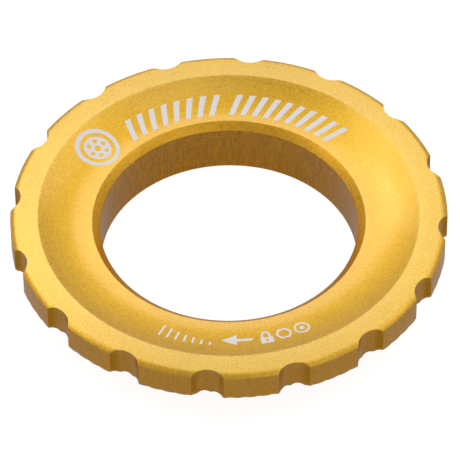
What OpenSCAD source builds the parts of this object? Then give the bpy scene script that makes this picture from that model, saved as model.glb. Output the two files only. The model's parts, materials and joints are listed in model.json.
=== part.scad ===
// Lock ring for a splined disc-brake rotor on a bicycle hub.
// It is one piece, turned and milled from bar: a dished flange, whose rim has sixteen
// notches for a ring spanner, and a short threaded sleeve that screws into the hub.
// The flange's serrated underside clamps the rotor, and the hub's axle ends in the bore.
// Millimetres, +Z up. The origin is on the ring's axis in the plane of the flange's seat.

/* [Flange] */
// Outside diameter of the flange, over which the spanner's crown fits
flange_d = 44; // [43.8:0.1:44.6]
// Thickness of the flange, from the seat to the flat rim
flange_t = 3.25; // [3:0.05:4]
// Width of the chamfer round the top of the flange
chamfer_w = 0.4; // [0.2:0.05:0.6]
// Height of the chamfer round the top of the flange
chamfer_h = 0.3; // [0.2:0.05:0.6]
// Size of the edge break round the flange's underside, which trims the serrations
foot_edge = 0.12; // [0.06:0.02:0.18]

/* [Spanner notches] */
// Number of notches round the rim
notch_count = 16; // [8:1:20]
// Radius of the round milling cutter that makes a notch
notch_cutter_r = 2; // [1.5:0.05:2.2]
// Depth of a notch below the outside of the flange
notch_depth = 0.87; // [0.5:0.01:1.2]

/* [Dish] */
// Diameter of the flat rim's inner edge, where the dish starts
dish_d = 38.44; // [37:0.02:40]
// Diameter of the dish's inner edge, round the mouth of the bore
mouth_d = 27.56; // [27:0.02:29]
// Depth of the dish below the flat rim, at the mouth of the bore
dish_depth = 1.16; // [0.8:0.02:1.5]

/* [Bore] */
// Diameter of the bore, which clears the hub's axle end
bore_d = 26; // [25:0.1:26.4]
// Height of the chamfer at the mouth of the bore
mouth_chamfer_h = 0.68; // [0.4:0.02:0.9]
// Size of the edge break at the lower end of the bore
bore_edge = 0.15; // [0.1:0.05:0.3]

/* [Threaded sleeve] */
// Length of the sleeve below the flange's seat
sleeve_len = 3.9; // [3.8:0.05:4.2]
// Major diameter of the thread
thread_d = 30; // [29.9:0.05:30.1]
// Pitch of the thread
thread_pitch = 1; // [1:0.1:1.1]
// Width of the run-out groove between the seat and the thread
runout_w = 0.8; // [0.7:0.05:0.9]
// Least height of the lead-in chamfer at the sleeve's lower end
lead_min = 0.2; // [0.1:0.05:0.3]

/* [Serrated seat] */
// Number of radial serrations on the seat
serration_count = 100; // [80:1:110]
// Depth of a serration at the outside of the flange
serration_depth = 0.2; // [0.1:0.02:0.25]
// Part of each serration's pitch that is left as a flat land
serration_land = 0.12; // [0.1:0.01:0.3]
// Angle of the first land from the notch on +X
serration_turn = 0.5; // [0:0.1:3.6]
// Inside diameter of the serrated seat
seat_d = 35; // [34:0.5:37]
// Depth of the relief inside the serrated seat
seat_relief = 0.3; // [0.26:0.02:0.5]

/* [Hidden] */
$fn = 192;

// How far a cutting shape reaches past the metal that it cuts
past = 1;

flange_r = flange_d / 2;
mouth_r = mouth_d / 2;
bore_r = bore_d / 2;
thread_r = thread_d / 2;

// The dish is an arc in section: level at the mouth, and steepest at the flat rim
dish_run = (dish_d - mouth_d) / 2;
dish_arc_r = (dish_run * dish_run + dish_depth * dish_depth) / (2 * dish_depth);
mouth_z = flange_t - dish_depth;

// ISO metric thread form: sharp triangle of 60 degrees, with flat crests and roots
thread_sharp_h = thread_pitch * cos(30);
thread_h = thread_sharp_h * 17 / 24;
root_r = thread_r - thread_h;
crest_w = thread_pitch / 8;
ridge_foot_w = crest_w + 2 * thread_h * tan(30);
first_ridge_z = -runout_w - ridge_foot_w / 2;
ridge_count = floor((sleeve_len - runout_w - ridge_foot_w - lead_min) / thread_pitch) + 1;
lead_h = sleeve_len - runout_w - ridge_foot_w - (ridge_count - 1) * thread_pitch;

// A serration is a shallow round groove that narrows towards the ring's axis, so each
// is cut by the top of a cone whose point is on the axis, tilted a little below the seat
groove_half_w = flange_r * sin(180 / serration_count * (1 - serration_land));
groove_r = (groove_half_w * groove_half_w + serration_depth * serration_depth)
    / (2 * serration_depth);
groove_tilt = atan((groove_r - serration_depth) / flange_r);
groove_half_angle = groove_tilt + atan(serration_depth / flange_r);
// How far a groove's cutting shape starts below the seat: less than would meet its neighbour
groove_skin = 0.02;

// Solid of revolution with the flange's outside, its top chamfer and the sleeve
module blank() {
    cylinder(h = foot_edge, r1 = flange_r - foot_edge, r2 = flange_r);
    translate([0, 0, foot_edge])
        cylinder(h = flange_t - chamfer_h - foot_edge, r = flange_r);
    translate([0, 0, flange_t - chamfer_h])
        cylinder(h = chamfer_h, r1 = flange_r, r2 = flange_r - chamfer_w);
    translate([0, 0, lead_h - sleeve_len])
        cylinder(h = sleeve_len - lead_h + past, r = root_r);
    translate([0, 0, -sleeve_len])
        cylinder(h = lead_h, r1 = root_r - lead_h, r2 = root_r);
}

// Thread drawn as level ridges at the thread's pitch
module thread_ridges() {
    for (i = [0 : ridge_count - 1])
        translate([0, 0, first_ridge_z - i * thread_pitch])
            rotate_extrude()
                polygon([
                    [bore_r - past, -ridge_foot_w / 2],
                    [root_r, -ridge_foot_w / 2],
                    [thread_r, -crest_w / 2],
                    [thread_r, crest_w / 2],
                    [root_r, ridge_foot_w / 2],
                    [bore_r - past, ridge_foot_w / 2]
                ]);
}

// Everything that the lathe takes out from above: the concave dish and the bore's mouth
module dish_cut() {
    rotate_extrude()
        intersection() {
            translate([mouth_r, mouth_z + dish_arc_r])
                circle(r = dish_arc_r);
            translate([mouth_r, mouth_z])
                square([dish_run + past, dish_depth + past]);
        }
    translate([0, 0, mouth_z])
        cylinder(h = dish_depth + past, r = mouth_r);
    translate([0, 0, mouth_z - mouth_chamfer_h])
        cylinder(h = mouth_chamfer_h, r1 = bore_r, r2 = mouth_r);
}

// The bore, right through, with a broken edge at its lower end
module bore_cut() {
    translate([0, 0, -sleeve_len - past])
        cylinder(h = sleeve_len + flange_t + 2 * past, r = bore_r);
    translate([0, 0, -sleeve_len])
        cylinder(h = bore_edge, r1 = bore_r + bore_edge, r2 = bore_r);
}

// One cutter's path for each notch, through the whole height of the rim
module notch_cuts() {
    for (i = [0 : notch_count - 1])
        rotate([0, 0, i * 360 / notch_count])
            translate([flange_r - notch_depth + notch_cutter_r, 0, -past])
                cylinder(h = flange_t + 2 * past, r = notch_cutter_r);
}

// The relief inside the seat, and the serrations across it
module seat_cuts() {
    difference() {
        translate([0, 0, -past])
            cylinder(h = past + seat_relief, r = seat_d / 2);
        translate([0, 0, -2 * past])
            cylinder(h = 3 * past + seat_relief, r = root_r);
    }
    for (i = [0 : serration_count - 1])
        rotate([0, 0, serration_turn + (i + 0.5) * 360 / serration_count])
            groove_cutter();
}

// The part of a groove's cone that reaches above the seat, with a hair below it
module groove_cutter() {
    cone_from = seat_d / 2 - past;
    cone_to = flange_r + past;
    intersection() {
        rotate([0, 90 + groove_tilt, 0])
            translate([0, 0, cone_from])
                cylinder(
                    h = cone_to - cone_from,
                    r1 = cone_from * tan(groove_half_angle),
                    r2 = cone_to * tan(groove_half_angle)
                );
        translate([cone_from, -past, -groove_skin])
            cube([cone_to - cone_from, 2 * past, 2 * past]);
    }
}

// The whole ring, in gold anodised aluminium
module lock_ring() {
    color([0.87, 0.68, 0.24])
        difference() {
            union() {
                blank();
                thread_ridges();
            }
            dish_cut();
            bore_cut();
            notch_cuts();
            seat_cuts();
        }
}

lock_ring();
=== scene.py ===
"""Studio scene of a gold anodised lock ring for a splined disc-brake rotor.

The ring is one turned and milled piece. Its metal is built here as a single closed mesh
with the edge breaks, the serrated seat and the true helical thread that the plain CAD
solid only stands for, and pale etched marks lie in its dish. Sizes are in millimetres in
the ring's own frame, with +Z along the axis, and become metres as a mesh is made.
"""

import json
import logging
import math
from dataclasses import dataclass, field
from enum import Enum

import bmesh
import bpy
import numpy as np
from bpy.types import ID, Material, Mesh, Node, NodeSocket as Socket, NodeTree, Object
from mathutils import Matrix, Vector


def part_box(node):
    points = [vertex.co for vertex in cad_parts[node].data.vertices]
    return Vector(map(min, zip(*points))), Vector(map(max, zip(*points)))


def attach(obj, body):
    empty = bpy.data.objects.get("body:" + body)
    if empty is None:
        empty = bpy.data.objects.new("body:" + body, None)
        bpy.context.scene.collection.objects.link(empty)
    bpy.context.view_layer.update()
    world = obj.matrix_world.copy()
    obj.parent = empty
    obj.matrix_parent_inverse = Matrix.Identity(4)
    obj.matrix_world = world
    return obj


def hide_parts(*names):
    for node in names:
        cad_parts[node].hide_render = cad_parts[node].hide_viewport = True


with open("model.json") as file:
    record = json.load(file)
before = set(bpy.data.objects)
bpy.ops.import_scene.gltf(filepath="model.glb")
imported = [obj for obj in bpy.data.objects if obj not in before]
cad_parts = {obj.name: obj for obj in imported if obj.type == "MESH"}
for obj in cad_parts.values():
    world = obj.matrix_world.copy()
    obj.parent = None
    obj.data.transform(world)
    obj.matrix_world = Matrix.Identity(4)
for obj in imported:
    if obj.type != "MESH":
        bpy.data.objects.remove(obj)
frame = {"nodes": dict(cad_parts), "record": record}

LOG = logging.getLogger("lock_ring_scene")
MM = 0.001
RING_NODE = "lock_ring"
BODY = "root"
ROUND_STEPS = 4

Point2 = tuple[float, float]
Colour = tuple[float, float, float]
Outline = list[Point2]


def put(name: str, data: ID) -> Object:
    """Adds an object to the scene.

    Args:
        name: the object's name.
        data: its mesh, light or camera.

    Returns:
        The new object.
    """
    made = bpy.data.objects.new(name, data)
    bpy.context.scene.collection.objects.link(made)
    return made


# ---- measures ----


def mount(name: str) -> dict:
    """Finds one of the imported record's mounts by its name."""
    return next(m for m in frame["record"]["mounts"] if m["name"] == name)


def farthest_radius(node: str) -> float:
    """Measures how far a CAD node reaches from the axis.

    Args:
        node: the node's name.

    Returns:
        The radius in millimetres.
    """
    mesh = frame["nodes"][node].data
    flat = np.zeros(len(mesh.vertices) * 3, np.float32)
    mesh.vertices.foreach_get("co", flat)
    points = flat.reshape(-1, 3)
    return round(float(np.hypot(points[:, 0], points[:, 1]).max()) / MM, 3)


@dataclass(frozen=True)
class RingSizes:
    """The ring's own sizes, in millimetres, with the CAD frame's where it states them."""

    flange_r: float = farthest_radius(RING_NODE)
    top_z: float = round(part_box(RING_NODE)[1].z / MM, 4)
    end_z: float = round(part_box(RING_NODE)[0].z / MM, 4)
    bore_r: float = mount("bore")["dims"]["r_mm"]
    thread_r: float = mount("thread")["dims"]["r_mm"]
    chamfer_w: float = 0.4
    chamfer_h: float = 0.3
    foot_edge: float = 0.12
    dish_r: float = 19.22
    mouth_r: float = 13.78
    dish_depth: float = 1.16
    mouth_chamfer_h: float = 0.68
    bore_edge: float = 0.15
    notch_count: int = 16
    notch_cutter_r: float = 2.0
    notch_depth: float = 0.87
    notch_corner_r: float = 0.1
    serration_count: int = 100
    serration_depth: float = 0.2
    serration_land: float = 0.12
    serration_turn: float = 0.5
    seat_r: float = 17.5
    seat_relief: float = 0.3
    runout_w: float = 0.8
    pitch: float = 1.0
    lead_in: float = 0.25
    lead_slope: float = 1.2
    lead_h: float = 0.267

    FLANK_ANGLE = math.radians(30)

    @property
    def mouth_z(self) -> float:
        """Height of the dish's lowest circle, round the bore's mouth."""
        return self.top_z - self.dish_depth

    @property
    def dish_arc_r(self) -> float:
        """Radius of the dish's arc in section."""
        run = self.dish_r - self.mouth_r
        return (run * run + self.dish_depth**2) / (2 * self.dish_depth)

    @property
    def thread_h(self) -> float:
        """Height of the thread form between its flat crest and root."""
        return self.pitch * math.cos(self.FLANK_ANGLE) * 17 / 24

    @property
    def crest_half(self) -> float:
        """Half the width of the thread's flat crest."""
        return self.pitch / 16

    @property
    def root_r(self) -> float:
        """Radius of the thread's root and of the run-out groove."""
        return self.thread_r - self.thread_h

    def dish_z(self, radius: float) -> float:
        """Height of the dish's surface above the seat, at a distance from the axis."""
        run = min(max(radius - self.mouth_r, 0.0), self.dish_r - self.mouth_r)
        return self.mouth_z + self.dish_arc_r - math.sqrt(self.dish_arc_r**2 - run * run)


class Zone(Enum):
    """The surfaces of the ring, each with a finish of its own, whose tint also carries painted light and
    shade.
    """

    DISH = "dish"
    RIM = "rim"
    FLANGE_WALL = "flange_wall"
    SEAT = "seat"
    SLEEVE = "sleeve"
    BORE = "bore"
    MOUTH = "mouth"


# ---- plan outline ----


@dataclass(frozen=True)
class NotchedRim:
    """The flange's outline in plan: a circle with round notches and broken corners."""

    sizes: RingSizes

    ARC_STEPS = 6
    CORNER_STEPS = 4
    LAND_STEPS = 2

    @property
    def centre_r(self) -> float:
        """Distance of a notch cutter's centre from the ring's axis."""
        s = self.sizes
        return s.flange_r - s.notch_depth + s.notch_cutter_r

    @property
    def corner_centre(self) -> Point2:
        """Places a corner arc's centre.

        Returns:
            Its distance from the axis, and its angle from the notch's middle.
        """
        s = self.sizes
        a, c = s.flange_r - s.notch_corner_r, self.centre_r
        reach = s.notch_cutter_r + s.notch_corner_r
        return a, math.acos((a * a + c * c - reach * reach) / (2 * a * c))

    @property
    def arc_end(self) -> float:
        """Finds where a notch's arc meets its corner's arc.

        Returns:
            The angle from the notch's middle.
        """
        a, turn = self.corner_centre
        s = self.sizes
        away = Vector((a * math.cos(turn) - self.centre_r, a * math.sin(turn)))
        touch = Vector((self.centre_r, 0)) + away.normalized() * s.notch_cutter_r
        return math.atan2(touch.y, touch.x)

    def radius_at(self, angle: float) -> float:
        """Distance of the outline from the axis.

        Args:
            angle: angle round the axis, in radians; a notch has its middle at 0.

        Returns:
            The radius in millimetres.
        """
        s = self.sizes
        sector = 2 * math.pi / s.notch_count
        off = abs((angle + sector / 2) % sector - sector / 2)
        a, turn = self.corner_centre
        if off >= turn:
            return s.flange_r
        if off <= self.arc_end:
            side = self.centre_r * math.sin(off)
            return self.centre_r * math.cos(off) - math.sqrt(s.notch_cutter_r**2 - side**2)
        side = a * math.sin(off - turn)
        return a * math.cos(off - turn) + math.sqrt(s.notch_corner_r**2 - side**2)

    def key_angles(self) -> list[float]:
        """Angles that the outline's shape needs, round the whole rim.

        Returns:
            Angles in radians, not sorted.
        """
        sector = 2 * math.pi / self.sizes.notch_count
        _, turn = self.corner_centre
        arc, corner, land = self.ARC_STEPS, self.CORNER_STEPS, self.LAND_STEPS
        one = [self.arc_end * i / arc for i in range(arc + 1)]
        one += [self.arc_end + (turn - self.arc_end) * i / corner for i in range(1, corner + 1)]
        one += [turn + (sector / 2 - turn) * i / land for i in range(1, land + 1)]
        both = sorted({round(a, 9) for a in one} | {round(-a, 9) for a in one[1:-1]})
        return [k * sector + a for k in range(self.sizes.notch_count) for a in both]


@dataclass(frozen=True)
class Serrations:
    """The seat's radial grooves, whose depth and width shrink towards the axis."""

    sizes: RingSizes

    STEPS = 5

    @property
    def half_width(self) -> float:
        """Half the angle that one groove spans, in radians."""
        s = self.sizes
        return math.pi / s.serration_count * (1 - s.serration_land)

    def depth_at(self, angle: float) -> float:
        """Height of the seat's surface at the flange's outside.

        Args:
            angle: angle round the axis, in radians.

        Returns:
            The height above the seat's plane, in millimetres.
        """
        s = self.sizes
        sector = 2 * math.pi / s.serration_count
        off = (angle - math.radians(s.serration_turn)) % sector - sector / 2
        if abs(off) >= self.half_width:
            return 0.0
        half = s.flange_r * math.sin(self.half_width)
        cutter = (half**2 + s.serration_depth**2) / (2 * s.serration_depth)
        return math.sqrt(cutter**2 - (s.flange_r * math.sin(off)) ** 2) - cutter + s.serration_depth

    def key_angles(self) -> list[float]:
        """Angles that the grooves' shape needs, round the whole seat.

        Returns:
            Angles in radians, not sorted.
        """
        s = self.sizes
        sector = 2 * math.pi / s.serration_count
        first = math.radians(s.serration_turn) + sector / 2
        across = [self.half_width * (2 * i / self.STEPS - 1) for i in range(self.STEPS + 1)]
        return [first + k * sector + a for k in range(s.serration_count) for a in across]


# ---- sections ----


def rounded(points: list[Point2], radii: dict[int, float]) -> list[tuple[float, float, bool]]:
    """Rounds chosen corners of a line in section.

    Args:
        points: the line's corners as (radius, height).
        radii: corner index to the rounding's radius.

    Returns:
        Points as (radius, height, whether the point is on a rounded edge).
    """
    out: list[tuple[float, float, bool]] = []
    for i, point in enumerate(points):
        if i not in radii:
            out.append((*point, False))
            continue
        here, before, after = (Vector(points[j]) for j in (i, i - 1, i + 1))
        back, ahead = (before - here).normalized(), (after - here).normalized()
        half = back.angle(ahead) / 2
        reach = radii[i] / math.tan(half)
        centre = here + (back + ahead).normalized() * radii[i] / math.sin(half)
        start, end = here + back * reach - centre, here + ahead * reach - centre
        sweep = start.angle_signed(end)
        for k in range(ROUND_STEPS + 1):
            spoke = Matrix.Rotation(-sweep * k / ROUND_STEPS, 2) @ start
            out.append((centre.x + spoke.x, centre.y + spoke.y, True))
    return out


@dataclass
class Row:
    """One ring of vertices, with the zone of the faces that lead to the next row."""

    radius: np.ndarray
    height: np.ndarray
    zone: Zone
    edge: float = 0.0
    turn: np.ndarray | float = 0.0
    shade: np.ndarray | float = 0.0


@dataclass
class RingMetal:
    """The ring's metal: one closed mesh, laid out as rows round its cross-section."""

    sizes: RingSizes
    angles: np.ndarray = field(init=False)
    outline: np.ndarray = field(init=False)
    normal: np.ndarray = field(init=False)
    groove: np.ndarray = field(init=False)
    rows: list[Row] = field(default_factory=list)
    helix: tuple[int, int, int] = (0, 0, 0)

    # The columns, and where the rows stop following the notches.
    SAME_ANGLE = math.radians(0.06)
    SLOPE_STEP = 1e-5
    SETTLED_R = 20.7

    # The top: its roundings, and the soft start and bow of its chamfer.
    DISH_STEPS = 14
    BORE_TOP_ROUND = 0.08
    MOUTH_ROUND = 0.12
    DISH_ROUND = 0.32
    ZONE_SLACK = 0.02
    RIM_SOFT = 0.2
    CHAMFER_BOW = 0.2
    BEVEL_FADE = 0.35
    RIM_PARTS = (0.62, 0.44, 0.39, 0.35, 0.3, 0.25, 0.2, 0.15, 0.07)

    # The wall: its broken edge, its rows and its notches' shade.
    EDGE_R = 0.05
    EDGE_STEPS = 4
    WALL_HEIGHTS = (2.2, 1.2, 0.5)
    FLANK_GAIN = 2.2
    FLANK_START = 0.5
    HOLLOW_SHADE = 0.5

    # The underside: its lip, the relief and the run-out groove's top.
    LIP_RISE = 0.025
    LIP_TUCK = 0.006
    # The lip's rounded edge turns paler, as wear and as a painted glint.
    LIP_WEAR_AND_GLINT = 0.6
    CORNER = 0.02
    RELIEF_WALL = ((0.02, 0.02), (0.04, 0.0), (0.12, 0.0))
    RUNOUT_TOP = ((0.2, 0.0), (0.1, 0.0), (0.03, 0.03), (0.0, 0.1))

    # The mesh: what it merges, in metres, and its shading.
    MERGE_M = 2e-8
    FLAT_M = 1e-9
    SHARP_ANGLE = math.radians(32)
    FACE_WEIGHT = 80

    def __post_init__(self) -> None:
        """Lays out the columns and what the outline and the grooves do at each."""
        rim, teeth = NotchedRim(self.sizes), Serrations(self.sizes)
        self.angles = self.merged(rim.key_angles(), teeth.key_angles())
        self.outline = np.array([rim.radius_at(a) for a in self.angles])
        ahead = np.array([rim.radius_at(a + self.SLOPE_STEP) for a in self.angles])
        behind = np.array([rim.radius_at(a - self.SLOPE_STEP) for a in self.angles])
        slope = (ahead - behind) / (2 * self.SLOPE_STEP)
        along = np.stack([np.ones_like(slope), -slope / self.outline], axis=1)
        self.normal = along / np.linalg.norm(along, axis=1)[:, None]
        self.groove = np.array([teeth.depth_at(a) for a in self.angles])

    def merged(self, first: list[float], second: list[float]) -> np.ndarray:
        """Joins two lists of angles, where the first keeps its places.

        Args:
            first: angles that all stay.
            second: angles that stay where they aren't next to one of the first.

        Returns:
            Sorted angles from 0 up to a full turn.
        """
        whole = 2 * math.pi
        kept = np.sort(np.array(first) % whole)
        others = []
        for angle in np.sort(np.array(second) % whole):
            gap = np.abs(kept - angle)
            if min(gap.min(), whole - gap.max()) > self.SAME_ANGLE:
                others.append(angle)
        return np.sort(np.concatenate([kept, others]))

    def flat_row(self, radius: float, height: float, zone: Zone, edge: bool = False) -> None:
        """Adds a level circle of vertices, which may lie on a rounded edge."""
        one = np.ones_like(self.angles)
        self.rows.append(Row(radius * one, height * one, zone, float(edge)))

    @property
    def hollow(self) -> np.ndarray:
        """How deep each column lies in a notch: 0 on a land to 1 at a notch's bottom."""
        return np.minimum((self.sizes.flange_r - self.outline) / self.sizes.notch_depth, 1)

    def inset(self, distance: float | np.ndarray) -> tuple[np.ndarray, np.ndarray]:
        """Finds the outline moved inwards along its own normal.

        Args:
            distance: how far, in millimetres.

        Returns:
            The moved points' radii, and how far each turns.
        """
        x = self.outline - distance * self.normal[:, 0]
        y = -distance * self.normal[:, 1]
        return np.hypot(x, y), np.arctan2(y, x)

    def top_height(self, radius: np.ndarray) -> np.ndarray:
        """Height of the flat rim and its chamfer, with a soft change between them.

        Args:
            radius: distances from the axis.

        Returns:
            The heights above the seat.
        """
        s, soft, bow = self.sizes, self.RIM_SOFT, self.CHAMFER_BOW
        past = radius - (s.flange_r - s.chamfer_w)
        drop = np.where(past < -soft, 0.0, np.where(past > soft, past, (past + soft) ** 2 / (4 * soft)))
        return s.top_z - drop * (1 - bow + bow * drop / s.chamfer_w) * s.chamfer_h / s.chamfer_w

    def bevel(self, radius: np.ndarray) -> np.ndarray:
        """Share of the chamfer's shade: 0 on the flat rim to 1 on the chamfer."""
        start = self.sizes.flange_r - self.sizes.chamfer_w - self.RIM_SOFT
        return np.clip((radius - start) / self.BEVEL_FADE, 0, 1)

    def bore_and_dish(self) -> None:
        """The bore's wall, its mouth, the dish and the start of the flat rim."""
        s = self.sizes
        run = s.dish_r - s.mouth_r
        radii = [s.mouth_r + run * i / self.DISH_STEPS for i in range(1, self.DISH_STEPS)]
        arc = [(radius, s.dish_z(radius)) for radius in radii]
        corners = [
            (s.bore_r, s.end_z + s.bore_edge),
            (s.bore_r, s.mouth_z - s.mouth_chamfer_h),
            (s.mouth_r, s.mouth_z),
            *arc,
            (s.dish_r, s.top_z),
            (self.SETTLED_R, s.top_z),
        ]
        rounds = {1: self.BORE_TOP_ROUND, 2: self.MOUTH_ROUND, len(corners) - 2: self.DISH_ROUND}
        for r, z, edge in rounded(corners, rounds):
            if r <= s.bore_r + self.ZONE_SLACK:
                zone = Zone.BORE
            elif z < s.mouth_z - self.ZONE_SLACK / 2:
                zone = Zone.MOUTH
            elif r < s.dish_r:
                zone = Zone.DISH
            else:
                zone = Zone.RIM
            self.flat_row(r, z, zone, edge)

    def rim_and_wall(self) -> None:
        """The flat rim out to the notched outline, the broken top edge and the wall."""
        # Painted shade for the wall: darker deep in the notches and darker still on their steep flanks.
        flank = np.clip(np.abs(self.normal[:, 1]) * self.FLANK_GAIN - self.FLANK_START, 0, 1)
        shade = np.maximum(self.HOLLOW_SHADE * self.hollow, flank)
        near, _ = self.inset(self.EDGE_R)
        for part in self.RIM_PARTS:
            radius = near - (near - self.SETTLED_R) * part
            self.rows.append(Row(radius, self.top_height(radius), Zone.RIM, shade=self.bevel(radius)))
        for k in range(self.EDGE_STEPS + 1):
            bend = math.pi / 2 * k / self.EDGE_STEPS
            radius, turn = self.inset(self.EDGE_R * (1 - math.sin(bend)))
            height = self.top_height(radius) - self.EDGE_R * (1 - math.cos(bend))
            if k < self.EDGE_STEPS:
                self.rows.append(Row(radius, height, Zone.RIM, 1.0, turn, self.bevel(radius)))
            else:
                self.rows.append(Row(radius, height, Zone.FLANGE_WALL, 1.0, turn, shade))
        for height in self.WALL_HEIGHTS:
            self.rows.append(Row(self.outline, height + 0 * self.outline, Zone.FLANGE_WALL, shade=shade))

    def seat(self) -> None:
        """The serrated underside, from the notched outline in to the relief."""
        s = self.sizes
        share = self.groove / s.flange_r
        trimmed = np.maximum(self.outline - (s.flange_r - s.foot_edge + self.groove), 0)
        lip = self.groove + trimmed
        for past, height in (
            (0 * trimmed, lip + self.LIP_RISE),
            (0 * trimmed + self.LIP_TUCK, lip + self.LIP_TUCK),
            (trimmed / 2 + self.CORNER / 2, (lip + self.groove) / 2),
            (trimmed + self.CORNER, self.groove),
        ):
            radius, turn = self.inset(past)
            self.rows.append(Row(radius, height, Zone.SEAT, self.LIP_WEAR_AND_GLINT, turn, self.hollow))
        near = self.outline - trimmed - self.CORNER
        for radius in (near - (near - self.SETTLED_R) / 2, 0 * near + self.SETTLED_R, 0 * near + s.seat_r):
            self.rows.append(Row(radius, share * radius, Zone.SEAT))
        for inside, drop in self.RELIEF_WALL:
            self.flat_row(s.seat_r - inside, s.seat_relief - drop, Zone.SEAT)
        for k, (outside, drop) in enumerate(self.RUNOUT_TOP):
            self.flat_row(s.root_r + outside, s.seat_relief - drop, Zone.SLEEVE if k else Zone.SEAT)

    def thread_radius(self, phase: np.ndarray, height: np.ndarray) -> np.ndarray:
        """Radius of the threaded surface.

        Args:
            phase: place along the pitch, in pitches from a crest's middle.
            height: heights, which bring the thread down at its lead-in chamfer.

        Returns:
            The radii in millimetres.
        """
        s = self.sizes
        off = np.abs((phase + 0.5) % 1 - 0.5) * s.pitch
        flank = s.thread_r - np.clip((off - s.crest_half) / math.tan(s.FLANK_ANGLE), 0, s.thread_h)
        lead = s.root_r - s.lead_in + (height - s.end_z) * s.lead_slope
        return np.minimum(flank, np.maximum(lead, s.root_r))

    def sleeve(self) -> None:
        """The threaded sleeve: rows that follow the helix, cut level at both its ends."""
        s = self.sizes
        top, foot = -s.runout_w, s.end_z + s.lead_h
        self.flat_row(s.root_r, top, Zone.SLEEVE)
        crest, root = s.crest_half, s.crest_half + s.thread_h * math.tan(s.FLANK_ANGLE)
        marks = [-crest, 0.0, crest, (crest + root) / 2, root, 1 - root, 1 - (crest + root) / 2]
        helix = self.angles / (2 * math.pi)
        turns = int((top - foot) / s.pitch) + 2
        first = len(self.rows)
        for k in range(-1, turns + 1):
            for mark in marks:
                height = np.clip(top - s.pitch * (k + mark + 1 - helix), foot, top)
                radius = self.thread_radius((top - height) / s.pitch + helix, height)
                radius = np.where(height >= top, s.root_r, radius)
                self.rows.append(Row(radius, height, Zone.SLEEVE))
        self.helix = (first, len(self.rows) - 1, len(marks))
        self.flat_row(s.root_r, foot, Zone.SLEEVE)
        outer, inner, nick = s.root_r - s.lead_in, s.bore_r + s.bore_edge, self.CORNER
        end = ((outer + nick, nick), (outer - nick, 0.0), (inner + nick, 0.0), (inner - nick, nick))
        for radius, height in end:
            self.flat_row(radius, s.end_z + height, Zone.SLEEVE, True)

    def build(self, finishes: dict[Zone, Material]) -> Object:
        """Makes the ring's mesh.

        Args:
            finishes: the material for each zone.

        Returns:
            The ring as a new object.
        """
        self.bore_and_dish()
        self.rim_and_wall()
        self.seat()
        self.sleeve()
        columns = len(self.angles)
        places, edges, shades = [], [], []
        for row in self.rows:
            angle = self.angles + row.turn
            x, y = row.radius * np.cos(angle), row.radius * np.sin(angle)
            places.append(np.stack([x, y, row.height], axis=1))
            edges.append(np.full(columns, row.edge))
            shades.append(np.zeros(columns) + row.shade)
        order = list(finishes)
        slots = np.repeat([order.index(row.zone) for row in self.rows], columns)
        faces, kept = self.faces()
        mesh = bpy.data.meshes.new("ring_metal")
        mesh.from_pydata((np.concatenate(places) * MM).tolist(), [], faces.tolist())
        for zone in order:
            mesh.materials.append(finishes[zone])
        mesh.polygons.foreach_set("material_index", slots[kept].astype(np.int32))
        for name, values in (("edge", edges), ("shade", shades)):
            flat = np.concatenate(values).astype(np.float32)
            mesh.attributes.new(name, "FLOAT", "POINT").data.foreach_set("value", flat)
        ring = put("ring_metal", mesh)
        self.clean(mesh)
        mesh.shade_smooth()
        mesh.set_sharp_from_angle(angle=self.SHARP_ANGLE)
        weighted = ring.modifiers.new("face_weighted_normals", "WEIGHTED_NORMAL")
        weighted.keep_sharp = True
        weighted.weight = self.FACE_WEIGHT
        return ring

    def faces(self) -> tuple[np.ndarray, np.ndarray]:
        """Joins the rows, and steps the thread's rows by one pitch where a turn closes.

        Returns:
            Each face's four corners, and which of the grid's faces they are.
        """
        count, columns = len(self.rows), len(self.angles)
        i, j = np.meshgrid(np.arange(count), np.arange(columns), indexing="ij")
        down, across = (i + 1) % count, (j + 1) % columns
        first, last, per_turn = self.helix
        closing = (j == columns - 1) & (i >= first - 1) & (i <= last)
        here = np.where(closing, np.clip(i - per_turn, first - 1, last + 1), i)
        below = np.where(closing & (i < last), np.clip(i + 1 - per_turn, first - 1, last + 1), down)
        grid = [i * columns + j, down * columns + j, below * columns + across, here * columns + across]
        corners = np.stack(grid, axis=-1).reshape(-1, 4)
        kept = np.flatnonzero(corners[:, 2] != corners[:, 3])
        return corners[kept], kept

    def clean(self, mesh: Mesh) -> None:
        """Merges the vertices that the thread's level ends bring together.

        Args:
            mesh: the ring's mesh, which is changed in place.
        """
        work = bmesh.new()
        work.from_mesh(mesh)
        bmesh.ops.remove_doubles(work, verts=work.verts, dist=self.MERGE_M)
        bmesh.ops.dissolve_degenerate(work, dist=self.FLAT_M, edges=work.edges)
        bmesh.ops.recalc_face_normals(work, faces=work.faces)
        work.to_mesh(mesh)
        work.free()
        mesh.update()


# ---- finishes ----


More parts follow.
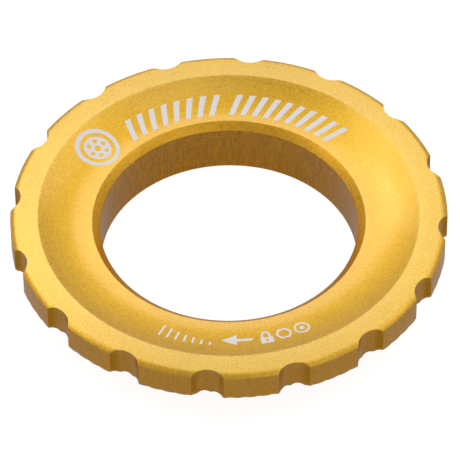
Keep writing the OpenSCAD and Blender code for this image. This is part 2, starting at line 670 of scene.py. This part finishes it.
@dataclass(frozen=True)
class Nodes:
    """Short calls that add nodes to one material."""

    tree: NodeTree

    NOISE_ROUGHNESS = 0.6
    NOISE_LOW = 0.3
    NOISE_HIGH = 0.7

    def add(self, kind: str, inputs: dict[str, float] | None = None, **settings: object) -> Node:
        """Adds a node.

        Args:
            kind: the node's type name.
            inputs: constant values for its inputs by name.
            settings: the node's own settings by name.

        Returns:
            The new node.
        """
        node = self.tree.nodes.new(kind)
        for name, value in settings.items():
            setattr(node, name, value)
        for name, value in (inputs or {}).items():
            node.inputs[name].default_value = value
        return node

    def join(self, source: Socket, target: Socket) -> None:
        """Links an output socket to an input socket."""
        self.tree.links.new(source, target)

    def math(self, how: str, first: object, second: object = 0.0) -> Socket:
        """Adds a Math node.

        Args:
            how: the operation's name.
            first: a socket or a number.
            second: a socket or a number.

        Returns:
            The result's socket.
        """
        node = self.add("ShaderNodeMath", operation=how)
        for slot, value in zip(node.inputs, (first, second)):
            if isinstance(value, Socket):
                self.join(value, slot)
            else:
                slot.default_value = value
        return node.outputs[0]

    def noise(self, place: Socket, scale: float, detail: float) -> Socket:
        """Adds a Noise texture.

        Args:
            place: the socket of its coordinates.
            scale: its scale per metre.
            detail: its octaves.

        Returns:
            Its value's socket.
        """
        inputs = {"Scale": scale, "Detail": detail, "Roughness": self.NOISE_ROUGHNESS}
        node = self.add("ShaderNodeTexNoise", inputs, noise_dimensions="3D")
        self.join(place, node.inputs["Vector"])
        return node.outputs["Fac"]

    def spread(self, value: Socket, low: float, high: float) -> Socket:
        """Maps a noise's middle range onto another.

        Args:
            value: the socket to map.
            low: what the range's lower end becomes.
            high: what its upper end becomes.

        Returns:
            The mapped socket.
        """
        inputs = {"From Min": self.NOISE_LOW, "From Max": self.NOISE_HIGH, "To Min": low, "To Max": high}
        node = self.add("ShaderNodeMapRange", inputs, clamp=True)
        self.join(value, node.inputs["Value"])
        return node.outputs[0]

    def blend(self, share: object, first: object, second: object, how: str = "MIX") -> Socket:
        """Adds a colour Mix node.

        Args:
            share: a socket or a number.
            first: a socket or a colour.
            second: a socket or a colour.
            how: the blend type's name.

        Returns:
            The mixed colour's socket.
        """
        node = self.add("ShaderNodeMix", data_type="RGBA", blend_type=how)
        colours = [slot for slot in node.inputs if slot.type == "RGBA"]
        for slot, value in zip((node.inputs[0], *colours), (share, first, second)):
            if isinstance(value, Socket):
                self.join(value, slot)
            else:
                slot.default_value = value if isinstance(value, float) else (*value, 1.0)
        return node.outputs["Result"]

    def bump(self, height: Socket, strength: float, depth: float) -> Socket:
        """Adds a Bump node.

        Args:
            height: the relief's socket.
            strength: how strong it is.
            depth: its depth in metres.

        Returns:
            The normal's socket.
        """
        node = self.add("ShaderNodeBump", {"Strength": strength, "Distance": depth})
        self.join(height, node.inputs["Height"])
        return node.outputs["Normal"]


def new_material(name: str) -> tuple[Material, Nodes, Node]:
    """Makes a material.

    Args:
        name: the material's name.

    Returns:
        The material, its nodes and its Principled shader.
    """
    made = bpy.data.materials.new(name)
    made.use_nodes = True
    return made, Nodes(made.node_tree), made.node_tree.nodes["Principled BSDF"]


@dataclass(frozen=True)
class Anodised:
    """Bead-blasted and dyed aluminium, with darker upright streaks where they show, painted shade in
    hollows and rubbed edges with a painted glint.
    """

    name: str
    colour: Colour
    # Pale gold for rubbed edges: wear, and a painted glint along them.
    worn_and_glint: Colour = (0.97, 0.70, 0.24)
    deep: float = 0.70
    roughness: float = 0.40
    lines: float = 0.0
    line_pitch: float = 0.16
    coat: float = 0.8
    coat_roughness: float = 0.22
    coat_ior: float = 1.6
    turned: float = 0.0
    shaded: Colour = (1.0, 1.0, 1.0)
    shaded_coat: float = 1.0
    grazing: Colour = (1.0, 1.0, 1.0)

    # The noises' scales per metre, and what they add to the dye.
    GRAIN = 5200.0
    FLECK = 2400.0
    CLOUD = 320.0
    FLECK_SHARE = 0.35
    CLOUD_SHARE = 0.25

    # The dye's tones, and the darker upright streaks.
    DYE = (1.04, 0.97, 0.7)
    PALE_GAIN = 1.15
    PALE_LIFT = 0.005
    LINE_SCALE = 13.0
    LINE_LEAN = 6.0
    LINE_DARK = 0.55
    LINE_RELIEF = 2.0

    # The blasted relief, rubbed edges that also carry a painted glint, and painted shade in the hollows.
    GRAIN_RELIEF = 0.7
    FLECK_RELIEF = 0.5
    BUMP = 0.6
    BUMP_M = 0.00003
    RUBBED_AND_GLINT = 0.2
    ROUGHNESS_SPREAD = 0.05
    SHADE_POWER = 3.0
    ROUND_AXIS = 0.25

    def line_place(self, nodes: Nodes, place: Socket) -> Socket:
        """Finds coordinates on which a noise makes upright lines round the axis.

        Args:
            nodes: the material's nodes.
            place: the socket of the object's coordinates.

        Returns:
            The new coordinates' socket.
        """
        split = nodes.add("ShaderNodeSeparateXYZ")
        nodes.join(place, split.inputs[0])
        angle = nodes.math("ARCTAN2", split.outputs["Y"], split.outputs["X"])
        joined = nodes.add("ShaderNodeCombineXYZ")
        nodes.join(nodes.math("COSINE", angle), joined.inputs["X"])
        nodes.join(nodes.math("SINE", angle), joined.inputs["Y"])
        nodes.join(nodes.math("MULTIPLY", split.outputs["Z"], self.LINE_LEAN), joined.inputs["Z"])
        return joined.outputs[0]

    def material(self) -> Material:
        """Builds the finish.

        Returns:
            A new material.
        """
        made, nodes, shader = new_material(self.name)
        place = nodes.add("ShaderNodeTexCoord").outputs["Object"]
        grain = nodes.noise(place, self.GRAIN, 1.0)
        fleck = nodes.noise(place, self.FLECK, 3.0)
        cloud = nodes.noise(place, self.CLOUD, 2.0)
        tone = tuple(c * self.deep * share for c, share in zip(self.colour, self.DYE))
        pale = tuple(min(c * self.PALE_GAIN + self.PALE_LIFT, 1.0) for c in self.colour)
        for noise, share in ((grain, 1.0), (fleck, self.FLECK_SHARE), (cloud, self.CLOUD_SHARE)):
            tone = nodes.blend(nodes.spread(noise, 0.0, share), tone, pale)
        relief = nodes.math("MULTIPLY", grain, self.GRAIN_RELIEF)
        relief = nodes.math("ADD", relief, nodes.math("MULTIPLY", fleck, self.FLECK_RELIEF))
        if self.lines:
            scored = nodes.noise(self.line_place(nodes, place), self.LINE_SCALE / self.line_pitch, 1.0)
            dark = tuple(c * self.LINE_DARK for c in self.colour)
            tone = nodes.blend(nodes.spread(scored, 0.0, self.lines), tone, dark)
            score = nodes.math("MULTIPLY", scored, self.lines * self.LINE_RELIEF)
            relief = nodes.math("ADD", relief, score)
        # Painted shade: the shade mark darkens the colour towards the finish's shaded tint.
        shade = nodes.add("ShaderNodeAttribute", attribute_name="shade").outputs["Fac"]
        tone = nodes.blend(shade, tone, self.shaded, "MULTIPLY")
        # Rounded edges turn towards pale gold: wear, and a painted glint along the edges.
        edge = nodes.add("ShaderNodeAttribute", attribute_name="edge").outputs["Fac"]
        rubbed_and_glint = nodes.math("MULTIPLY", edge, nodes.spread(fleck, 0.0, self.RUBBED_AND_GLINT))
        tone = nodes.blend(rubbed_and_glint, tone, self.worn_and_glint)
        nodes.join(tone, shader.inputs["Base Color"])
        smooth, rough = self.roughness - self.ROUGHNESS_SPREAD, self.roughness + self.ROUGHNESS_SPREAD
        nodes.join(nodes.spread(grain, smooth, rough), shader.inputs["Roughness"])
        nodes.join(nodes.bump(relief, self.BUMP, self.BUMP_M), shader.inputs["Normal"])
        shader.inputs["Metallic"].default_value = 1.0
        shader.inputs["Specular Tint"].default_value = (*self.grazing, 1.0)
        shader.inputs["Coat Weight"].default_value = self.coat
        shader.inputs["Coat Roughness"].default_value = self.coat_roughness
        shader.inputs["Coat IOR"].default_value = self.coat_ior
        # Painted shade also takes the coat's sheen away where the shade mark is deepest.
        if self.shaded_coat < 1.0:
            deepest = nodes.math("POWER", shade, self.SHADE_POWER)
            loss = nodes.math("MULTIPLY", deepest, 1.0 - self.shaded_coat)
            left = nodes.math("MULTIPLY", nodes.math("SUBTRACT", 1.0, loss), self.coat)
            nodes.join(left, shader.inputs["Coat Weight"])
        if self.turned:
            tangent = nodes.add("ShaderNodeTangent", direction_type="RADIAL", axis="Z")
            nodes.join(tangent.outputs[0], shader.inputs["Tangent"])
            shader.inputs["Anisotropic"].default_value = self.turned
            shader.inputs["Anisotropic Rotation"].default_value = self.ROUND_AXIS
        return made


@dataclass(frozen=True)
class Etched:
    """Pale aluminium laid bare where the dye is etched away."""

    name: str = "etched_aluminium"
    colour: Colour = (1.0, 0.95, 0.94)
    grain: float = 6000.0
    dulled: float = 0.95
    roughness: Point2 = (0.5, 0.65)
    bump: float = 0.3
    bump_m: float = 0.00001

    def material(self) -> Material:
        """Builds the finish.

        Returns:
            A new material.
        """
        made, nodes, shader = new_material(self.name)
        place = nodes.add("ShaderNodeTexCoord").outputs["Object"]
        grain = nodes.noise(place, self.grain, 3.0)
        dull = tuple(c * self.dulled for c in self.colour)
        tone = nodes.blend(nodes.spread(grain, 0.0, 1.0), dull, self.colour)
        nodes.join(tone, shader.inputs["Base Color"])
        nodes.join(nodes.spread(grain, *self.roughness), shader.inputs["Roughness"])
        nodes.join(nodes.bump(grain, self.bump, self.bump_m), shader.inputs["Normal"])
        shader.inputs["Metallic"].default_value = 0.0
        return made


# The zones' tints differ partly as painted light and shade: the rim's paler, bluer tint is a painted sheen
# and the bore's darker tint is painted shade.
RING_FINISHES: dict[Zone, Anodised] = {
    Zone.DISH: Anodised(
        "gold_dish", (0.94, 0.50, 0.004), coat=0.9, coat_roughness=0.18, coat_ior=1.64, turned=0.6
    ),
    Zone.RIM: Anodised("gold_rim", (0.95, 0.55, 0.06), turned=0.65, shaded=(1.0, 0.87, 0.13)),
    Zone.FLANGE_WALL: Anodised(
        "gold_wall",
        (0.97, 0.43, 0.01),
        lines=0.15,
        line_pitch=0.25,
        shaded=(0.78, 0.73, 0.66),
        shaded_coat=0.1,
        grazing=(0.97, 0.88, 0.8),
    ),
    Zone.SEAT: Anodised("gold_seat", (0.86, 0.44, 0.03)),
    Zone.SLEEVE: Anodised("gold_sleeve", (0.88, 0.46, 0.03), roughness=0.34),
    Zone.BORE: Anodised("gold_bore", (0.83, 0.34, 0.002), deep=0.5, lines=0.6, roughness=0.36, coat=0.32),
    Zone.MOUTH: Anodised("gold_mouth", (0.92, 0.44, 0.012), roughness=0.36, coat=0.08),
}


# ---- marks ----


def stroke(points: Outline, width: float) -> Outline:
    """Turns an open line into the outline of a pen stroke of even width.

    Args:
        points: the line.
        width: the stroke's width.

    Returns:
        The closed outline.
    """
    sides: tuple[Outline, Outline] = ([], [])
    for i, point in enumerate(points):
        before, after = Vector(points[max(i - 1, 0)]), Vector(points[min(i + 1, len(points) - 1)])
        along = (after - before).normalized()
        aside = Vector((-along.y, along.x)) * width / 2
        sides[0].append((point[0] + aside.x, point[1] + aside.y))
        sides[1].append((point[0] - aside.x, point[1] - aside.y))
    return sides[0] + sides[1][::-1]


def circle(radius: float, steps: int, centre: Point2 = (0.0, 0.0)) -> Outline:
    """A round outline with a number of corners."""
    turns = (2 * math.pi * i / steps for i in range(steps))
    return [(centre[0] + radius * math.cos(t), centre[1] + radius * math.sin(t)) for t in turns]


def box_outline(low: Point2, high: Point2) -> Outline:
    """A rectangle's outline between its lower left and upper right corners."""
    return [low, (high[0], low[1]), high, (low[0], high[1])]


@dataclass
class DishMark:
    """A flat figure laid on the dish: one or more outlines, with holes where they nest.

    In the figure's own plane, x runs anticlockwise round the dish and y away from the axis.
    """

    name: str
    angle: float
    radius: float
    shapes: list[list[Outline]]
    upside_down: bool = False

    PROUD = 0.008
    SUNK = 0.03
    GRID = 0.35
    GRID_SLACK = 1e-4

    def place(self, x: float, y: float, lift: float, sizes: RingSizes) -> Vector:
        """Finds where a point of the figure lies on the dish.

        Args:
            x: distance round the dish, in millimetres.
            y: distance away from the axis.
            lift: height over the surface.
            sizes: the ring's sizes.

        Returns:
            The point in metres.
        """
        if self.upside_down:
            x, y = -x, -y
        radius = self.radius + y
        turn = math.radians(self.angle) + x / self.radius
        return Vector((radius * math.cos(turn), radius * math.sin(turn), sizes.dish_z(radius) + lift)) * MM

    def build(self, sizes: RingSizes, finish: Material) -> Object:
        """Makes the mark as a thin closed skin that follows the dish.

        Args:
            sizes: the ring's sizes.
            finish: its material.

        Returns:
            The mark as a new object.
        """
        work = bmesh.new()
        for shape in self.shapes:
            loops = []
            for outline in shape:
                corners = [work.verts.new((x, y, 0)) for x, y in outline]
                loops += [work.edges.new((a, b)) for a, b in zip(corners, corners[1:] + corners[:1])]
            bmesh.ops.triangle_fill(work, use_beauty=True, use_dissolve=False, edges=loops)
        self.refine(work)
        bottom = bmesh.ops.duplicate(work, geom=work.verts[:] + work.edges[:] + work.faces[:])
        below = {v for v in bottom["geom"] if isinstance(v, bmesh.types.BMVert)}
        pairs = {a: b for a, b in bottom["vert_map"].items() if isinstance(a, bmesh.types.BMVert)}
        rims = [e.verts for e in work.edges if e.is_boundary and e.verts[0] not in below]
        for a, b in rims:
            work.faces.new((a, b, pairs[b], pairs[a]))
        for vert in work.verts:
            lift = -self.SUNK if vert in below else self.PROUD
            vert.co = self.place(vert.co.x, vert.co.y, lift, sizes)
        bmesh.ops.recalc_face_normals(work, faces=work.faces)
        mesh = bpy.data.meshes.new(self.name)
        work.to_mesh(mesh)
        work.free()
        mesh.materials.append(finish)
        return put(self.name, mesh)

    def refine(self, work: bmesh.types.BMesh) -> None:
        """Cuts the figure along a square grid, so that it can bend with the dish.

        Args:
            work: the figure's flat mesh, which is changed in place.
        """
        xs, ys = [v.co.x for v in work.verts], [v.co.y for v in work.verts]
        for normal, reach in ((Vector((1.0, 0, 0)), xs), (Vector((0, 1.0, 0)), ys)):
            low = min(reach)
            for k in range(1, int((max(reach) - low) / self.GRID) + 1):
                bmesh.ops.bisect_plane(
                    work,
                    geom=work.verts[:] + work.edges[:] + work.faces[:],
                    plane_co=normal * (low + k * self.GRID),
                    plane_no=normal,
                    dist=self.GRID_SLACK,
                )


@dataclass
class Marks:
    """The etched marks: a hatch and a roundel at the back, a lock legend at the front."""

    sizes: RingSizes
    hatch_groups: tuple[tuple[float, float, int], ...] = ((134.5, 101.0, 8), (93.0, 52.5, 10))
    hatch_r: float = 15.85
    hatch_h: float = 2.5
    hatch_slant: float = 0.8
    hatch_w: float = 0.6
    roundel_angle: float = 149.6
    roundel_r: float = 16.5
    hole_count: int = 6
    hole_circle: float = 0.9
    legend_angle: float = 278.2
    legend_r: float = 16.45
    padlock_turn: float = 10.2
    hexagon_turn: float = 16.5
    rings_turn: float = 23.2
    tick_count: int = 7
    tick_start: float = -9.0
    tick_gap: float = 2.9
    tick_foot: float = -0.85
    tick_h: float = 0.5
    tick_rise: float = 0.2
    pen: float = 0.22

    def hatch(self) -> list[DishMark]:
        """Draws two groups of slanted bars.

        Returns:
            The bars, from left to right.
        """
        half, lean, side = self.hatch_h / 2, self.hatch_slant / 2, self.hatch_w / 2
        bar = [(-side + lean, -half), (side + lean, -half), (side - lean, half), (-side - lean, half)]
        made = []
        for start, end, count in self.hatch_groups:
            for angle in np.linspace(start, end, count):
                made.append(DishMark(f"mark_bar_{len(made) + 1:02d}", float(angle), self.hatch_r, [[bar]]))
        return made

    def roundel(self) -> DishMark:
        """Draws a ring round a disc with seven holes.

        Returns:
            The roundel.
        """
        holes = [circle(0.24, 12, centre) for centre in circle(self.hole_circle, self.hole_count)]
        disc = [circle(1.42, 36), *holes, circle(0.34, 16)]
        ring = [circle(2.3, 48), circle(1.84, 48)]
        return DishMark("mark_roundel", self.roundel_angle, self.roundel_r, [ring, disc])

    def padlock(self) -> list[list[Outline]]:
        """Draws a closed padlock.

        Returns:
            Its shackle, and its case with the keyhole.
        """
        side, spring, rise, half, foot, top = 0.38, 0.3, 0.5, 0.62, -0.95, -0.05
        bow = [(side * math.cos(t), spring + rise * math.sin(t)) for t in np.linspace(0, math.pi, 13)]
        shackle = stroke([(side, top), *bow, (-side, top)], self.pen)
        keyhole = circle(0.16, 12, (0, (foot + top) / 2))
        return [[shackle], [box_outline((-half, foot), (half, top)), keyhole]]

    def legend(self) -> list[DishMark]:
        """Draws an arrow that turns clockwise, with a padlock before it and a scale after it.

        Returns:
            The legend's marks.
        """
        above = [(-1.6, 0.18), (0.0, 0.18), (0.0, 0.8)]
        arrow = [*above, (1.55, 0.0), *[(x, -y) for x, y in above[::-1]]]
        hexagon = [[circle(0.86, 6), circle(0.86 - self.pen * 1.15, 6)]]
        rings = [[circle(0.82, 32), circle(0.82 - self.pen, 32)], [circle(0.26, 16)]]
        figures = [
            ("arrow", 0.0, [[arrow]]),
            ("padlock", self.padlock_turn, self.padlock()),
            ("hexagon", self.hexagon_turn, hexagon),
            ("rings", self.rings_turn, rings),
        ]
        for i in range(self.tick_count):
            top = self.tick_foot + (self.tick_h + self.tick_rise * i)
            tick = box_outline((-self.pen / 2, self.tick_foot), (self.pen / 2, top))
            figures.append((f"tick_{i + 1}", self.tick_start - self.tick_gap * i, [[tick]]))
        return [
            DishMark(f"mark_{name}", self.legend_angle + turn, self.legend_r, shapes, True)
            for name, turn, shapes in figures
        ]

    def build(self, finish: Material) -> list[Object]:
        """Makes every mark, as new objects with the marks' material."""
        drawn = [*self.hatch(), self.roundel(), *self.legend()]
        return [mark.build(self.sizes, finish) for mark in drawn]


# ---- studio ----


@dataclass(frozen=True)
class Softbox:
    """An area light on a dome round the ring, which the camera doesn't see."""

    name: str
    turn: float
    height: float
    reach: float
    size: Point2
    glow: float

    def build(self, right: Vector) -> None:
        """Adds the light, facing the ring.

        Args:
            right: the level direction to the camera's right, from which the light is turned.
        """
        t, h = math.radians(self.turn), math.radians(self.height)
        away = Vector((-right.y, right.x, 0))
        place = (right * math.cos(t) + away * math.sin(t)) * math.cos(h) + Vector((0, 0, math.sin(h)))
        lamp = bpy.data.lights.new(self.name, "AREA")
        lamp.shape = "RECTANGLE"
        lamp.size, lamp.size_y = self.size
        lamp.energy = self.glow * math.pi * self.size[0] * self.size[1]
        made = put(self.name, lamp)
        made.location = place * self.reach
        made.rotation_mode = "QUATERNION"
        made.rotation_quaternion = (-made.location).to_track_quat("-Z", "Y")
        made.visible_camera = False


SOFTBOXES = (
    Softbox("key_softbox", 150.0, 50.0, 0.32, (0.34, 0.15), 1.05),
    Softbox("fill_softbox", 24.0, 50.0, 0.32, (0.30, 0.15), 0.72),
    Softbox("back_softbox", 97.0, 47.0, 0.36, (0.16, 0.075), 1.75),
    Softbox("high_softbox", 50.0, 76.0, 0.34, (0.11, 0.11), 0.6),
    Softbox("front_softbox", 306.0, 43.0, 0.36, (0.22, 0.14), 0.4),
)


@dataclass
class Studio:
    """The floor, the lights and the camera."""

    sizes: RingSizes
    camera_azimuth: float = 5.87
    camera_elevation: float = 47.22
    camera_distance: float = 0.4859
    camera_roll: float = -0.51
    camera_lens: float = 378.1
    sensor: float = 36.0
    aim_right: float = 0.098
    aim_down: float = 2.73
    floor_reach: float = 3.0
    floor_gap: float = 0.00002
    floor_grey: float = 0.25
    floor_roughness: float = 0.9
    floor_glow: float = 0.91
    sky_glow: float = 0.45
    sky_tilt: float = 0.06
    ground_glow: float = 0.385
    horizon: Point2 = (-0.3, 0.05)

    @property
    def right(self) -> Vector:
        """The level direction to the camera's right."""
        turn = math.radians(self.camera_azimuth)
        return Vector((math.cos(turn), math.sin(turn), 0))

    def camera(self) -> None:
        """Adds the camera, which looks down at the ring from in front."""
        a, e = math.radians(self.camera_azimuth), math.radians(self.camera_elevation)
        back = Vector((math.sin(a) * math.cos(e), -math.cos(a) * math.cos(e), math.sin(e)))
        top = Vector((0, 0, self.sizes.top_z * MM))
        aim = top + self.right * self.aim_right * MM - Vector((0, 0, self.aim_down * MM))
        lens = bpy.data.cameras.new("camera")
        lens.lens = self.camera_lens
        lens.sensor_width = self.sensor
        lens.clip_start, lens.clip_end = 0.01, 20.0
        made = put("camera", lens)
        made.location = top + back * self.camera_distance
        made.rotation_mode = "QUATERNION"
        look = (aim - made.location).to_track_quat("-Z", "Y")
        roll = Matrix.Rotation(math.radians(self.camera_roll), 4, "Z").to_quaternion()
        made.rotation_quaternion = look @ roll
        bpy.context.scene.camera = made

    def floor(self) -> None:
        """Adds the pale floor under the sleeve's end."""
        mesh = bpy.data.meshes.new("floor")
        reach, height = self.floor_reach, self.sizes.end_z * MM - self.floor_gap
        corners = [(x * reach, y * reach, height) for x, y in ((-1, -1), (1, -1), (1, 1), (-1, 1))]
        mesh.from_pydata(corners, [], [(0, 1, 2, 3)])
        paint, _, shader = new_material("pale_floor")
        shader.inputs["Base Color"].default_value = (self.floor_grey, self.floor_grey, self.floor_grey, 1)
        shader.inputs["Roughness"].default_value = self.floor_roughness
        shader.inputs["Emission Color"].default_value = (1, 1, 1, 1)
        shader.inputs["Emission Strength"].default_value = self.floor_glow
        mesh.materials.append(paint)
        made = put("floor", mesh)
        made.visible_glossy = False

    def sky(self) -> None:
        """Lights the studio evenly and softly from all round."""
        world = bpy.data.worlds.new("studio")
        world.use_nodes = True
        nodes = Nodes(world.node_tree)
        split = nodes.add("ShaderNodeSeparateXYZ")
        nodes.join(nodes.add("ShaderNodeTexCoord").outputs["Generated"], split.inputs[0])
        above = nodes.math("ADD", split.outputs["Z"], split.outputs["Y"])
        above = nodes.math("ADD", nodes.math("MULTIPLY", above, self.sky_tilt), self.sky_glow)
        inputs = {"From Min": self.horizon[0], "From Max": self.horizon[1], "To Min": self.ground_glow}
        ramp = nodes.add("ShaderNodeMapRange", inputs, clamp=True)
        nodes.join(split.outputs["Z"], ramp.inputs["Value"])
        nodes.join(above, ramp.inputs["To Max"])
        background = world.node_tree.nodes["Background"]
        nodes.join(ramp.outputs[0], background.inputs["Strength"])
        background.inputs["Color"].default_value = (1, 1, 1, 1)
        bpy.context.scene.world = world

    def build(self) -> None:
        """Sets the whole studio up."""
        self.camera()
        self.floor()
        self.sky()
        for softbox in SOFTBOXES:
            softbox.build(self.right)
        bpy.context.scene.view_settings.view_transform = "Standard"


def main() -> None:
    """Builds the ring, its marks and the studio, and reports each piece."""
    logging.basicConfig(level=logging.INFO, format="%(message)s")
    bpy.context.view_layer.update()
    sizes = RingSizes()
    finishes = {zone: RING_FINISHES[zone].material() for zone in Zone}
    ring = RingMetal(sizes).build(finishes)
    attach(ring, BODY)
    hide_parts(RING_NODE)
    LOG.info("%s: %d faces", ring.name, len(ring.data.polygons))
    for mark in Marks(sizes).build(Etched().material()):
        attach(mark, BODY)
        LOG.info("%s: %d faces", mark.name, len(mark.data.polygons))
    Studio(sizes).build()


if __name__ == "__main__":
    main()
